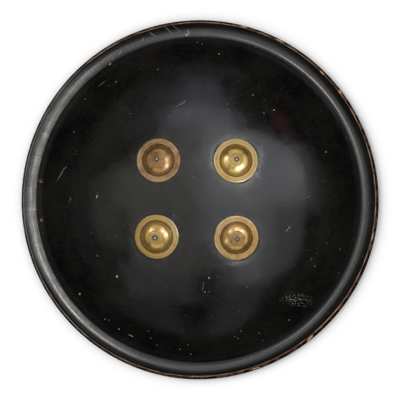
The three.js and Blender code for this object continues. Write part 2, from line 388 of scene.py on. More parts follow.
def make_hide_shell():
    profile, front_count = shell_profile()
    edge_last = front_count + EDGE_STEPS - 2

    def place(r, z, angle, index):
        direction = polar(1, angle)
        outline = outline_radius(angle)
        arris = outline - edge_width(angle)
        if r > GUTTER_RADIUS:
            if index < front_count:
                r = remap(r, GUTTER_RADIUS, LIP_RADIUS, GUTTER_RADIUS, arris)
            elif index <= edge_last:
                r = remap(r, LIP_RADIUS, SHIELD_RADIUS, arris, outline)
            else:
                r = remap(r, GUTTER_RADIUS, SHIELD_RADIUS, GUTTER_RADIUS, outline)
        point = direction * r + UP * z
        slow = relief(point, WARP) + relief(point, RIPPLE, 4.0)
        on_dome = 1 - smooth_step(DOME_RADIUS - DOME_FADE, GUTTER_RADIUS, r)
        on_brim = smooth_step(GUTTER_RADIUS + BRIM_FADE, SHIELD_RADIUS, r)
        point.z += slow * (on_dome + BRIM_SHARE * on_brim)
        if index < front_count:
            point.z += relief(point, PEBBLE, 9.0) * on_dome
        elif index <= edge_last:
            point += direction * min(0, relief(point, EDGE_NICKS, 2.0))
        point.z = max(point.z, 0)
        return point

    vertices, faces = turned_mesh(profile, SHELL_SIDES, place)
    shell = mesh_object("hide_shell_surface", vertices, faces)
    past = [step[2] / MM for step in profile]
    add_value(shell, "past_arris", turned_values(past, SHELL_SIDES, True))
    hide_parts("hide_shell")
    return shell


# Bosses
BOSS_SIDES = 144
FLANGE_STEPS = 34
CAP_STEPS = 64
CAP_STEP_POWER = 0.8
INSIDE_STEPS = 12

# Edge of the flange in section, as (mm in from the edge, mm up, recess)
FLANGE_EDGE = ((0, 0.6, 0.8), (0, 1.3, 0.35), (0.12, 1.85, 0.1), (0.42, 2.28, 0), (0.85, 2.48, 0))
# Groove as (mm in from its outer radius, mm up from the cap's foot, recess, more recess where deep)
GROOVE_SECTION = (
    (0.25, 1.12, 0.1, 0.3), (0.45, 0.8, 0.4, 0.5), (0.65, 0.15, 1, 0), (1, -0.1, 1, 0), (1.55, 0, 1, 0),
)
FLANGE_SHOULDER = 1.3 * MM
FLANGE_RISE = 0.5 * MM

# Unevenness of a boss: scale per metre and height
BOSS_SWELL = (75, 0.14 * MM)
RIM_SWELL = (120, 0.1 * MM)
RIM_REACH = 2 * MM
# It starts at this height, and is calmer near the groove
SWELL_FOOT = 0.9 * MM
GROOVE_REACH = 2 * MM
GROOVE_CALM = 0.8

# Grime in a turned line and how far it spreads; painted shade at the cap's foot, painted shade with dirt
# round the hole, and darkening inside
RECESS_DARKNESS = 0.9
FLANGE_LINE_SPREAD = 1.1
CAP_LINE_SPREAD = 1.25
FOOT_SHADE_START = 0.955
HOLE_DARK_WIDTH = 0.03
INSIDE_DARKNESS = 0.6

# Turned lines from rim to groove and from hole to foot: (place, depth in mm, width)
# Dents from the boss's middle: (x, y, depth, size) in mm
BOSS_LOOKS = {
    "upper_left": {
        "groove": 1,
        "flange_lines": ((0.14, 0.22, 0.05), (0.42, 0.14, 0.05), (0.62, 0.12, 0.04), (0.84, 0.2, 0.07)),
        "cap_lines": ((0.25, 0.1, 0.025), (0.34, 0.1, 0.025), (0.44, 0.1, 0.025), (0.9, 0.14, 0.03)),
        "dents": ((6, -9, 0.35, 7), (-9, 4, 0.25, 6)),
    },
    "upper_right": {
        "groove": 0.5,
        "flange_lines": ((0.26, 0.18, 0.05), (0.62, 0.16, 0.05)),
        "cap_lines": ((0.28, 0.05, 0.025), (0.38, 0.05, 0.025)),
        "dents": ((-11, -3, 0.5, 6), (7, 7, 0.3, 7)),
    },
    "lower_left": {
        "groove": 1,
        "flange_lines": ((0.3, 0.08, 0.04), (0.9, 0.2, 0.06)),
        "cap_lines": ((0.21, 0.08, 0.025), (0.31, 0.1, 0.025), (0.42, 0.08, 0.025), (0.87, 0.22, 0.035)),
        "dents": ((3, -6, 0.3, 7), (-2, 11, 0.25, 5)),
    },
    "lower_right": {
        "groove": 0.6,
        "flange_lines": ((0.3, 0.2, 0.05), (0.66, 0.2, 0.05)),
        "cap_lines": ((0.25, 0.12, 0.03), (0.36, 0.16, 0.03), (0.47, 0.12, 0.03)),
        "dents": ((-9, -6, 0.5, 6), (6, -10, 0.25, 6)),
    },
}


def boss_frame(corner):
    """Place of a boss on the dome's front, with +Z along the dome's normal."""
    x, y = BOSS_CENTRES[corner]
    radius = math.hypot(x, y)
    lean = dome_slope(radius) / radius
    normal = Vector((lean * x, lean * y, 1)).normalized()
    turn = UP.rotation_difference(normal).to_matrix().to_4x4()
    return Matrix.Translation((x, y, front_height(radius))) @ turn


def cap_height(r, foot_radius=CAP_RADIUS, foot=CAP_FOOT_HEIGHT, rise=CAP_RISE):
    sphere = (foot_radius**2 + rise**2) / (2 * rise)
    return foot + rise - sphere + math.sqrt(max(sphere**2 - r**2, 0))


def boss_profile(look):
    """Profile as (r, z, recess): recess is 1 where the brass is darkened, by grime in the turned lines and
    by painted shade with dirt in the groove, under the flange's edge, at the cap's foot and round the hole.
    """
    rim = FLANGE_RADIUS
    profile = [(rim, SEAT_GAP - dome_drop(rim), 1)]
    profile += [(rim - inset * MM, z * MM, recess) for inset, z, recess in FLANGE_EDGE]
    flange_out = rim - FLANGE_SHOULDER
    for i in range(FLANGE_STEPS + 1):
        share = i / FLANGE_STEPS
        r = flange_out + (GROOVE_OUTER_RADIUS - flange_out) * share
        z = FLANGE_HEIGHT + FLANGE_RISE * share
        recess = 0
        for line, depth, width in look["flange_lines"]:
            z -= depth * MM * hump(share, line, width)
            recess = max(recess, RECESS_DARKNESS * hump(share, line, width * FLANGE_LINE_SPREAD))
        profile.append((r, z, recess))
    groove = look["groove"]
    for inset, z, recess, deepening in GROOVE_SECTION:
        r = GROOVE_OUTER_RADIUS - inset * MM
        profile.append((r, CAP_FOOT_HEIGHT + z * MM, recess + deepening * groove))
    for i in range(CAP_STEPS + 1):
        share = 1 - i / CAP_STEPS
        outward = share**CAP_STEP_POWER
        r = BOSS_HOLE_RADIUS + (CAP_RADIUS - BOSS_HOLE_RADIUS) * outward
        z = cap_height(r)
        # Painted shade at the cap's foot, and painted shade with dirt round the hole
        foot_shade = groove * smooth_step(FOOT_SHADE_START, 1.0, outward)
        recess = RECESS_DARKNESS * (foot_shade + hump(share, 0, HOLE_DARK_WIDTH))
        for line, depth, width in look["cap_lines"]:
            away = r / CAP_RADIUS
            z -= depth * MM * hump(away, line, width)
            recess = max(recess, hump(away, line, width * CAP_LINE_SPREAD))
        profile.append((r, z, min(recess, 1)))
    inner = CAP_RADIUS - BRASS_THICKNESS
    for i in range(INSIDE_STEPS + 1):
        r = BOSS_HOLE_RADIUS + (inner - BOSS_HOLE_RADIUS) * i / INSIDE_STEPS
        z = cap_height(r, inner, SEAT_GAP, CAP_RISE + CAP_FOOT_HEIGHT - BRASS_THICKNESS)
        profile.append((r, z, INSIDE_DARKNESS))
    return profile


def make_boss(corner, number):
    look = BOSS_LOOKS[corner]
    profile = boss_profile(look)
    matrix = boss_frame(corner)

    def place(r, z, angle, index):
        point = polar(r, angle, z)
        if z > SWELL_FOOT:
            near_groove = 1 - smooth_step(0, GROOVE_REACH, abs(r - GROOVE_OUTER_RADIUS))
            swell = relief(point, BOSS_SWELL, 11.3 * number)
            for x, y, depth, size in look["dents"]:
                away = math.hypot(point.x / MM - x, point.y / MM - y)
                swell -= depth * MM * hump(away, 0, size)
            point.z += swell * (1 - GROOVE_CALM * near_groove)
            if r > FLANGE_RADIUS - RIM_REACH:
                point.z += relief(point, RIM_SWELL, 5 + number)
        return matrix @ point

    vertices, faces = turned_mesh(profile, BOSS_SIDES, place)
    boss = mesh_object("boss_cap_" + corner, vertices, faces)
    add_value(boss, "radius_mm", [step[0] / MM for step in profile] * BOSS_SIDES)
    add_value(boss, "recess", [step[2] for step in profile] * BOSS_SIDES)
    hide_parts("boss_" + corner)
    return boss


# Ring bolts, rings and straps
BOLT_SIDES = 48
SHANK_STEPS = 6
EYE_SIDES = (48, 16)
RING_SIDES = (112, 20)
RING_SLACK = 0.96
RING_WEAR = 0.05
WELD_SWELL = 0.06
WELD_ANGLE = 0.6
WELD_WIDTH = 0.12
HEAD_START = 10 * MM
HEAD_OVAL = 0.07
HAMMER_MARKS = (500, 0.06 * MM)
HAMMER_SINK = 0.09 * MM
POLISH_EDGE = (1.2 * MM, 1.9 * MM)
RIVET_POLISH = {"upper_left": 0.9, "upper_right": 1.0, "lower_left": 0.9, "lower_right": 0.45}

# Edges of a bolt's collar and head in section, as (mm out from the radius, mm up from the foot)
COLLAR_EDGE = ((-1.1, 0.02), (-0.5, 0.25), (-0.15, 0.8), (0, 1.5), (-0.2, 1.6))
HEAD_EDGE = (
    (-0.3, 0), (0, 0.15), (-0.15, 0.4), (-0.7, 0.7), (-1.2, 0.95),
    (-1.55, 1.3), (-1.9, 1.5), (-2.4, 1.62), (-2.9, 1.7),
)


def ring_bolt_profile():
    """Returns the profile and the height of the eye's middle."""
    head_foot = cap_height(BOSS_HOLE_RADIUS) + SEAT_GAP
    collar_top = -HIDE_THICKNESS - SEAT_GAP
    collar_foot = collar_top - COLLAR_THICKNESS
    length = head_foot - collar_top
    profile = [(0, collar_foot), (COLLAR_RADIUS / 2, collar_foot)]
    profile += [(COLLAR_RADIUS + r * MM, collar_foot + z * MM) for r, z in COLLAR_EDGE]
    profile += [(SHANK_RADIUS, collar_top + length * i / SHANK_STEPS) for i in range(SHANK_STEPS + 1)]
    profile += [(HEAD_RADIUS + r * MM, head_foot + z * MM) for r, z in HEAD_EDGE]
    profile.append((0, head_foot + HEAD_HEIGHT))
    return profile, collar_foot - EYE_RADIUS - EYE_WIRE_RADIUS / 2


def make_ring_bolt(corner, number):
    """Returns the bolt and its eye's middle."""
    profile, eye_depth = ring_bolt_profile()
    matrix = boss_frame(corner)

    def place(r, z, angle, index):
        point = polar(r, angle, z)
        if z > HEAD_START:
            point.x *= 1 + HEAD_OVAL * math.sin(2 * angle + number)
            point.z += relief(point, HAMMER_MARKS, 3.1 * number) - HAMMER_SINK
        return matrix @ point

    vertices, faces = turned_mesh(profile, BOLT_SIDES, place)
    bolt = mesh_object("ring_bolt_head_" + corner, vertices, faces)
    eye_centre = matrix @ Vector((0, 0, eye_depth))
    turn = matrix.to_3x3()
    axes = (turn @ Vector((0, 1, 0)), turn @ UP, turn @ Vector((1, 0, 0)))
    ring = ring_mesh(eye_centre, EYE_RADIUS, EYE_WIRE_RADIUS, *EYE_SIDES, axes)
    eye = mesh_object("eye_" + corner, *ring)
    join_solids(bolt, eye)
    inverse = matrix.inverted()
    polish = []
    for vertex in bolt.data.vertices:
        local = inverse @ vertex.co
        bright = 1 - smooth_step(*POLISH_EDGE, math.hypot(local.x, local.y))
        polish.append(RIVET_POLISH[corner] * bright if local.z > 0 else 0)
    add_value(bolt, "polish", polish)
    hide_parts("ring_bolt_" + corner)
    return bolt, eye_centre


def make_ring(corner, eye_centre, number):
    """Returns the ring and the middle of its lowest bar."""
    gap = EYE_RADIUS - EYE_WIRE_RADIUS - RING_WIRE_RADIUS - SEAT_GAP
    centre = eye_centre - UP * (gap + RING_RADIUS)
    axes = (Vector((1, 0, 0)), UP, Vector((0, -1, 0)))

    def swell(angle):
        weld = WELD_SWELL * hump(angle, WELD_ANGLE + number, WELD_WIDTH)
        return weld - RING_WEAR * (1 + math.sin(angle)) / 2

    wire = RING_WIRE_RADIUS * RING_SLACK
    vertices, faces = ring_mesh(centre, RING_RADIUS, wire, *RING_SIDES, axes, swell)
    ring = mesh_object("ring_loose_" + corner, vertices, faces)
    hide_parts("ring_" + corner)
    return ring, centre - UP * RING_RADIUS


STRAP_STEPS = 72
FOLD_STEPS = 14
TURN_STEPS = 16
STRAP_LEAD = 10 * MM
TAPER_START = 19 * MM
TAPER_END = 7 * MM
FOLD_GAP = 0.05 * MM
FOLD_WIDTH = TONGUE_WIDTH - 0.6 * MM
FOLD_TIP_SHARE = 0.45
FOLD_TIP_LENGTH = 4 * MM
STRAP_CROWN = 0.12 * MM
CROWN_SHARES = (-0.5, -0.25, 0, 0.25, 0.5)
EDGE_WAVE = (60, 0.25 * MM)
EDGE_WAVE_REACH = 4 * MM


def strap_middle(y, half):
    return -STRAP_SAG * (1 - (y / half) ** 2)


def strap_path(half):
    """A strap's course from its sewn end round one ring, over to the other and back: (y, z, width)."""
    fold_end = half - FOLD_LENGTH
    under = LAYER_THICKNESS + FOLD_GAP

    def level(y, drop, ring_level):
        near = smooth_step(half - STRAP_LEAD, half, abs(y))
        return (strap_middle(y, half) - drop) * (1 - near) + ring_level * near

    def width(y):
        taper = smooth_step(half - TAPER_START, half - TAPER_END, abs(y))
        return STRAP_WIDTH + (TONGUE_WIDTH - STRAP_WIDTH) * taper

    def folded(y):
        narrow = FOLD_WIDTH * min(1, FOLD_TIP_SHARE + (abs(y) - fold_end) / FOLD_TIP_LENGTH)
        return y, level(y, under, -LOOP_RADIUS), narrow

    def half_turn(sign):
        course = []
        for i in range(TURN_STEPS + 1):
            angle = math.pi * (i / TURN_STEPS - sign / 2)
            y = sign * half + LOOP_RADIUS * math.cos(angle)
            course.append((y, LOOP_RADIUS * math.sin(angle), TONGUE_WIDTH))
        return course

    fold = [fold_end + FOLD_LENGTH * i / FOLD_STEPS for i in range(FOLD_STEPS)]
    span = [half - 2 * half * i / STRAP_STEPS for i in range(1, STRAP_STEPS)]
    path = [folded(y) for y in fold] + half_turn(1)
    path += [(y, level(y, 0, LOOP_RADIUS), width(y)) for y in span]
    return path + half_turn(-1) + [folded(-y) for y in reversed(fold)]


def strap_section(width, thick):
    """A flat section with eased edges, slightly crowned, as (x, height)."""
    half, ease = width / 2, thick * 0.42
    left = [
        (-half, 0),
        (-half + 0.12 * ease, ease * 0.55),
        (-half + 0.5 * ease, thick / 2 - 0.15 * ease),
        (-half + 1.2 * ease, thick / 2),
    ]
    crown = [(share * width, thick / 2 + STRAP_CROWN * (1 - 4 * share**2)) for share in CROWN_SHARES]
    upper = left + crown + [(-x, z) for x, z in reversed(left)]
    return upper + [(x, -z) for x, z in reversed(upper[1:-1])]


def strap_frame(upper_bar, lower_bar):
    along = (upper_bar - lower_bar).normalized()
    turn = Vector((0, 1, 0)).rotation_difference(along).to_matrix().to_4x4()
    return Matrix.Translation((upper_bar + lower_bar) / 2) @ turn


def make_strap(side, upper_bar, lower_bar, number):
    half = (upper_bar - lower_bar).length / 2
    matrix = strap_frame(upper_bar, lower_bar)
    path = strap_path(half)
    vertices, faces = [], []
    for i, (y, z, width) in enumerate(path):
        before, after = path[max(i - 1, 0)], path[min(i + 1, len(path) - 1)]
        tangent = Vector((0, after[0] - before[0], after[1] - before[1])).normalized()
        out = Vector((0, tangent.z, -tangent.y))
        for x, height in strap_section(width, LAYER_THICKNESS):
            point = Vector((x, y, z)) + out * height
            edge_wave = relief(Vector((0, y, math.copysign(1, x))), EDGE_WAVE, number)
            point.x += math.copysign(edge_wave, x) * min(1, abs(x) / EDGE_WAVE_REACH)
            vertices.append(matrix @ point)
    count = len(strap_section(1, 1))
    quad_rows(faces, len(path), count, count, False, flip=True)
    last = (len(path) - 1) * count
    faces.append(tuple(range(count - 1, -1, -1)))
    faces.append(tuple(range(last, last + count)))
    strap = mesh_object("grip_strap_leather_" + side, vertices, faces)
    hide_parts("grip_strap_" + side)
    return strap, matrix, half


STITCH_SIDES = 6
STITCH_RINGS = 5
STITCH_PITCH = 3.4 * MM
STITCH_LENGTH = 2.4 * MM
STITCH_START = 0.2
STITCH_RISE = 1.1
STITCH_SINK = 0.35
STITCH_TIP = 0.55
THREAD_RADIUS = 0.36 * MM
EDGE_ROW_INSET = 2.2 * MM
FOLD_ROW_OFFSET = 3.2 * MM
ROW_END = 21 * MM
FOLD_ROW_END = 11 * MM


def add_stitch(vertices, faces, matrix, start, end):
    """One stitch: a short thread that rises from the leather and goes back in."""
    first = len(vertices)
    along = (end - start).normalized()
    across = along.cross(UP).normalized()
    for k in range(STITCH_RINGS):
        share = k / (STITCH_RINGS - 1)
        arch = math.sin(math.pi * share)
        centre = start.lerp(end, share) + UP * THREAD_RADIUS * (STITCH_RISE * arch - STITCH_SINK)
        size = THREAD_RADIUS * (STITCH_TIP + (1 - STITCH_TIP) * arch)
        for i in range(STITCH_SIDES):
            turn = TAU * i / STITCH_SIDES
            offset = across * math.cos(turn) + UP * math.sin(turn)
            vertices.append(matrix @ (centre + offset * size))
    quad_rows(faces, STITCH_RINGS, STITCH_SIDES, STITCH_SIDES, False, first)
    last = first + (STITCH_RINGS - 1) * STITCH_SIDES
    faces.append(tuple(first + i for i in range(STITCH_SIDES)))
    faces.append(tuple(last + i for i in range(STITCH_SIDES - 1, -1, -1)))


def make_stitching(side, matrix, half):
    """Two rows along a strap's edges, and two short rows through each fold."""
    vertices, faces = [], []
    surface = LAYER_THICKNESS / 2

    def row(x, y_from, y_to):
        for i in range(int((y_to - y_from) / STITCH_PITCH)):
            y = y_from + STITCH_PITCH * (i + STITCH_START)
            ends = [Vector((x, v, strap_middle(v, half) + surface)) for v in (y, y + STITCH_LENGTH)]
            add_stitch(vertices, faces, matrix, *ends)

    for sign in (-1, 1):
        row(sign * (STRAP_WIDTH / 2 - EDGE_ROW_INSET), ROW_END - half, half - ROW_END)
        row(sign * FOLD_ROW_OFFSET, half - ROW_END, half - FOLD_ROW_END)
        row(sign * FOLD_ROW_OFFSET, FOLD_ROW_END - half, ROW_END - half)
    stitching = mesh_object("stitching_" + side, vertices, faces)
    return stitching


# Materials
MARK_REACH = 2
MARK_DEPTH = 1000
ALONG_RAY = ("DISTANCE", "DOT_PRODUCT", "LENGTH")


class Nodes:
    """Short calls for a material's nodes."""

    def __init__(self, name):
        self.material = bpy.data.materials.new(name)
        self.material.use_nodes = True
        self.tree = self.material.node_tree
        self.tree.nodes.clear()
        output = self.tree.nodes.new("ShaderNodeOutputMaterial")
        self.shader = self.tree.nodes.new("ShaderNodeBsdfPrincipled")
        self.tree.links.new(self.shader.outputs[0], output.inputs[0])
        self.where = self.node("ShaderNodeTexCoord").outputs["Object"]

    def feed(self, socket, value):
        if isinstance(value, bpy.types.NodeSocket):
            self.tree.links.new(value, socket)
        else:
            socket.default_value = value

    def node(self, kind, inputs=None, **settings):
        made = self.tree.nodes.new(kind)
        for key, value in settings.items():
            setattr(made, key, value)
        for key, value in (inputs or {}).items():
            self.feed(made.inputs[key], value)
        return made

    def finish(self, colour, gloss, metal=0.0, height=None):
        """Feeds the shader and returns the material. Height is in metres."""
        inputs = {"Base Color": colour, "Roughness": gloss, "Metallic": metal}
        if height is not None:
            bump = self.node("ShaderNodeBump", {"Height": height, "Distance": 1.0, "Strength": 1.0})
            inputs["Normal"] = bump.outputs[0]
        for key, value in inputs.items():
            self.feed(self.shader.inputs[key], value)
        return self.material

    def value(self, name):
        return self.node("ShaderNodeAttribute", attribute_name=name).outputs["Fac"]

    def math(self, operation, a, b=0.0, c=0.0, clamp=False):
        made = self.node("ShaderNodeMath", operation=operation, use_clamp=clamp)
        for socket, value in zip(made.inputs, (a, b, c)):
            self.feed(socket, value)
        return made.outputs[0]

    def join(self, operation, values):
        """The values taken together two by two."""
        joined = values[0]
        for value in values[1:]:
            joined = self.math(operation, joined, value)
        return joined

    def times(self, *values):
        return self.join("MULTIPLY", values)

    def most(self, *values):
        return self.join("MAXIMUM", values)

    def plus(self, value, factor, rest, clamp=False):
        """The value times a factor, added to the rest."""
        return self.math("MULTIPLY_ADD", value, factor, rest, clamp)

    def vector(self, operation, a, b=None):
        made = self.node("ShaderNodeVectorMath", operation=operation)
        self.feed(made.inputs[0], a)
        if b is not None:
            self.feed(made.inputs[1], b)
        return made.outputs[1 if operation in ALONG_RAY else 0]

    def toward(self, ray, direction, low, high):
        """Rises from 0 to 1 as the ray turns towards a direction."""
        return self.span(self.vector("DOT_PRODUCT", ray, direction), low, high)

    def noise(self, scale, detail, rough=0.5, vector=None):
        inputs = {"Vector": vector or self.where, "Scale": scale, "Detail": detail, "Roughness": rough}
        return self.node("ShaderNodeTexNoise", inputs).outputs["Fac"]

    def patches(self, scale, detail, rough, low, high, to_low=0.0, to_high=1.0):
        """Noise that rises from to_low to to_high between two of its levels."""
        return self.span(self.noise(scale, detail, rough), low, high, to_low, to_high)

    def rings(self, radius, scale, detail):
        inputs = {"W": radius, "Scale": scale, "Detail": detail}
        return self.node("ShaderNodeTexNoise", inputs, noise_dimensions="1D").outputs["Fac"]

    def span(self, value, low, high, to_low=0.0, to_high=1.0):
        inputs = {"Value": value, "From Min": low, "From Max": high, "To Min": to_low, "To Max": to_high}
        return self.node("ShaderNodeMapRange", inputs, interpolation_type="SMOOTHSTEP").outputs["Result"]

    def mix(self, factor, a, b):
        made = self.node("ShaderNodeMix", data_type="RGBA")
        self.feed(made.inputs[0], factor)
        for socket, colour in zip((made.inputs[6], made.inputs[7]), (a, b)):
            self.feed(socket, colour if isinstance(colour, bpy.types.NodeSocket) else (*colour, 1))
        return made.outputs[2]

    def coat(self, colour, paint, *factors):
        """The colour under a coat of paint, as thick as the factors multiplied."""
        return self.mix(self.times(*factors), colour, paint)

    def blend(self, factor, a, b):
        made = self.node("ShaderNodeMix", data_type="FLOAT")
        for socket, value in zip((made.inputs[0], made.inputs[2], made.inputs[3]), (factor, a, b)):
            self.feed(socket, value)
        return made.outputs[0]

    def local(self, vector, matrix):
        """The vector in the frame of a matrix."""
        inputs = {"Vector": vector, "Location": matrix.to_translation(), "Rotation": matrix.to_euler()}
        return self.node("ShaderNodeMapping", inputs, vector_type="TEXTURE").outputs[0]

    def jitter(self, scale, reach, vector=None):
        """The place moved about by noise, to roughen what is drawn with it."""
        vector = vector or self.where
        wander = self.node("ShaderNodeTexNoise", {"Vector": vector, "Scale": scale, "Detail": 2.0})
        centred = self.vector("SUBTRACT", wander.outputs["Color"], (0.5, 0.5, 0.5))
        moved = self.node("ShaderNodeVectorMath", {0: centred, "Scale": 2 * reach}, operation="SCALE")
        return self.vector("ADD", vector, moved.outputs[0])

    def marks(self, vector, marks, soft=0.35):
        """1 inside any of the marks, each (point, half length, half width, turn in degrees)."""
        insides = []
        for (x, y), long, wide, turn in marks:
            ball = self.node("ShaderNodeTexGradient", {"Vector": vector}, gradient_type="SPHERICAL")
            mapping = ball.texture_mapping
            mapping.vector_type = "TEXTURE"
            mapping.translation = (x, y, 0)
            mapping.rotation = (0, 0, math.radians(turn))
            mapping.scale = (MARK_REACH * long, MARK_REACH * wide, MARK_DEPTH)
            insides.append(ball.outputs["Fac"])
        return self.span(self.most(*insides), 1 - (1 + soft) / MARK_REACH, 1 - (1 - soft) / MARK_REACH)


# Marks on the lacquer, by their photo pixels: (x, y, length in mm, width in mm, turn in degrees)
BARE_CHIPS = (
    (110, 64, 3.5, 1.8, 40), (186.5, 35, 4, 2.4, 10), (41, 181, 4.6, 4.2, 0), (42, 220, 4.2, 3.6, 0),
    (117, 276.5, 3.2, 2.2, 70), (80, 294, 3, 2.4, 60), (119, 329, 2.4, 1.4, -30), (219, 54, 1.8, 1.2, 20),
    (274, 110, 3, 1.2, 35), (131, 335.5, 7, 0.9, -25), (97, 196.5, 3, 1.6, 30), (240, 26, 3, 1, -15),
)
CHIP_MIDDLES = ((41.2, 180.8, 3.8, 3.4, 0), (42.2, 219.8, 3.4, 3.0, 0), (80.3, 293.8, 1.6, 1.4, 0))
PALE_SPECKS = (
    (116, 82, 1), (85, 99, 1), (74, 132, 1.1), (97, 256, 1), (105, 319, 1.3), (109, 320, 1.1),
    (148, 331, 1), (151, 338, 0.9), (157, 345, 1), (180, 349, 1.2), (191, 354, 1.2), (188, 345, 0.9),
    (253, 95, 1.1), (264, 113, 1), (326, 152, 1.3), (347, 138, 1), (202, 44, 0.9), (241, 331, 1),
    (259, 333, 1), (289, 320, 1.3), (340, 249, 1), (209, 278, 1.6), (205, 292, 1.4), (247, 287, 1),
)
SCRATCHES = (
    (60.5, 175, 17, 0.9, 56), (65, 168, 7, 0.8, 35), (101.5, 84, 12, 0.7, 38), (181, 104, 14, 0.8, 28),
    (184, 101.5, 6, 0.6, 20), (288, 229, 10, 1.3, 52), (311.5, 259, 3, 1.2, 60), (315, 266, 3.5, 1, 40),
    (97, 196, 9, 0.5, 78), (308, 197, 9, 0.5, 20), (203, 286, 12, 0.5, 80), (70, 200, 8, 0.5, 60),
    (188.5, 32.5, 7, 2.4, -82), (176, 28, 14, 0.8, -38), (168, 29.5, 14, 0.8, -40), (152, 34, 11, 0.8, -30),
    (143, 40, 6, 0.8, 70), (120, 53, 9, 0.8, 62), (114, 57, 8, 0.7, 66), (262, 32, 10, 0.8, 20),
    (103, 62, 6, 0.7, 70), (34, 160, 6, 0.7, 10), (33, 198, 7, 0.8, 5), (34, 210, 5, 0.7, -8),
    (37, 150, 6, 0.7, 20), (56, 285, 6, 0.7, 80), (68, 300, 7, 0.8, 100), (88, 323, 7, 0.7, 110),
)
RIM_WEAR = (
    (244, 26.5, 9, 2.2, -14), (280, 40.5, 12, 1.8, -27), (322, 73, 7, 2, -45), (340, 92, 6, 2, -55),
    (310, 338.5, 11, 2.4, 52), (372.5, 237, 12, 1.6, 78), (29, 184, 9, 1.8, 86), (256, 368.5, 12, 1.6, 18),
)
SPECKLED_PATCH = ((297, 300, 34, 14, -8),)
BROWN_TINT = ((283, 122, 40, 18, -60),)
# Polish haze beside the bosses, partly a painted reflection of the lamps
POLISH_AND_REFLECTION_HAZES = (
    (260, 158, 28, 8, 85), (254, 172, 20, 7, -45), (212.5, 158, 24, 5, 85), (237, 262.5, 22, 6, 5),
)

# Colours of the lacquer, its dust and the hide
LACQUER_BLACK = (0.0006, 0.0006, 0.0006)
LACQUER_CLOUDED = (0.0046, 0.0043, 0.0036)
LACQUER_BROWN = (0.011, 0.0036, 0.0024)
GUTTER_PLAIN = (0.050, 0.050, 0.050)
GUTTER_WORN = (0.095, 0.095, 0.095)
GUTTER_DUST = (0.20, 0.195, 0.185)
RAY_DARK = (0.03, 0.03, 0.03)
RAY_PALE = (0.42, 0.41, 0.40)
# Pale bluish haze, partly painted sheen
HAZE_AND_SHEEN_COLOUR = (0.12, 0.125, 0.145)
PALE_COLOUR = (0.36, 0.36, 0.31)
HIDE_TAN = (0.15, 0.085, 0.038)
HIDE_PALE = (0.36, 0.26, 0.14)
HIDE_BROWN = (0.055, 0.026, 0.014)
ARRIS_RED = (0.10, 0.036, 0.020)
ARRIS_TAN = (0.31, 0.19, 0.11)
# Grey painted highlight on the arris
ARRIS_HIGHLIGHT_GREY = (0.17, 0.15, 0.135)
WEAR_RED = (0.22, 0.095, 0.03)
WEAR_TAN = (0.50, 0.28, 0.10)
BACK_DARK = (0.018, 0.009, 0.005)
BACK_PALE = (0.060, 0.031, 0.017)

# Directions in which the gutter is worn, wide or clean; the worn side also gets the painted highlight on
# the arris
WORN_AND_HIGHLIGHT_SIDE = (-0.995, -0.1, 0)
WIDE_SIDE = (-0.97, 0.24, 0)
CLEAN_SIDE = (1, 0, 0)
WIDE_REACH = -5.0 * MM
CLEAN_REACH = 3.0 * MM
CLEAN_INSET = 1.0 * MM
LINE_REACH = 4.5 * MM

# Where each look starts and is full: metres from the middle, or from the nearest boss's middle
GUTTER_INSIDE = (0.2264, 0.2288)
GUTTER_OUTSIDE = (0.2435, 0.2335)
DOME_SWELL = (0.226, 0.216)
BOSS_HAZE = (0.044, 0.0315)
BOSS_GRIME = (0.0322, 0.0312)
BOSS_SEAT = (0.0285, 0.0385)
# The same for looks at the lip, in mm past the arris
BACK_START = (5.6, 6.2)
EDGE_START = (0.5, 1.1)
ARRIS_WIDTH = (0.80, 0.25)
WEAR_START = (-1.8, -0.4)


def half_sizes(long, wide):
    return long * MM / 2, wide * MM / 2


def on_front(marks):
    """Marks given by photo pixels as places on the front, with half their length and width."""
    placed = []
    for x, y, long, wide, turn in marks:
        point = front_point(x, y)
        placed.append(((point.x, point.y), *half_sizes(long, wide), turn))
    return placed


def on_boss(marks):
    """Marks given in mm from a boss's middle, with half their length and width."""
    return [((x * MM, y * MM), *half_sizes(long, wide), turn) for x, y, long, wide, turn in marks]


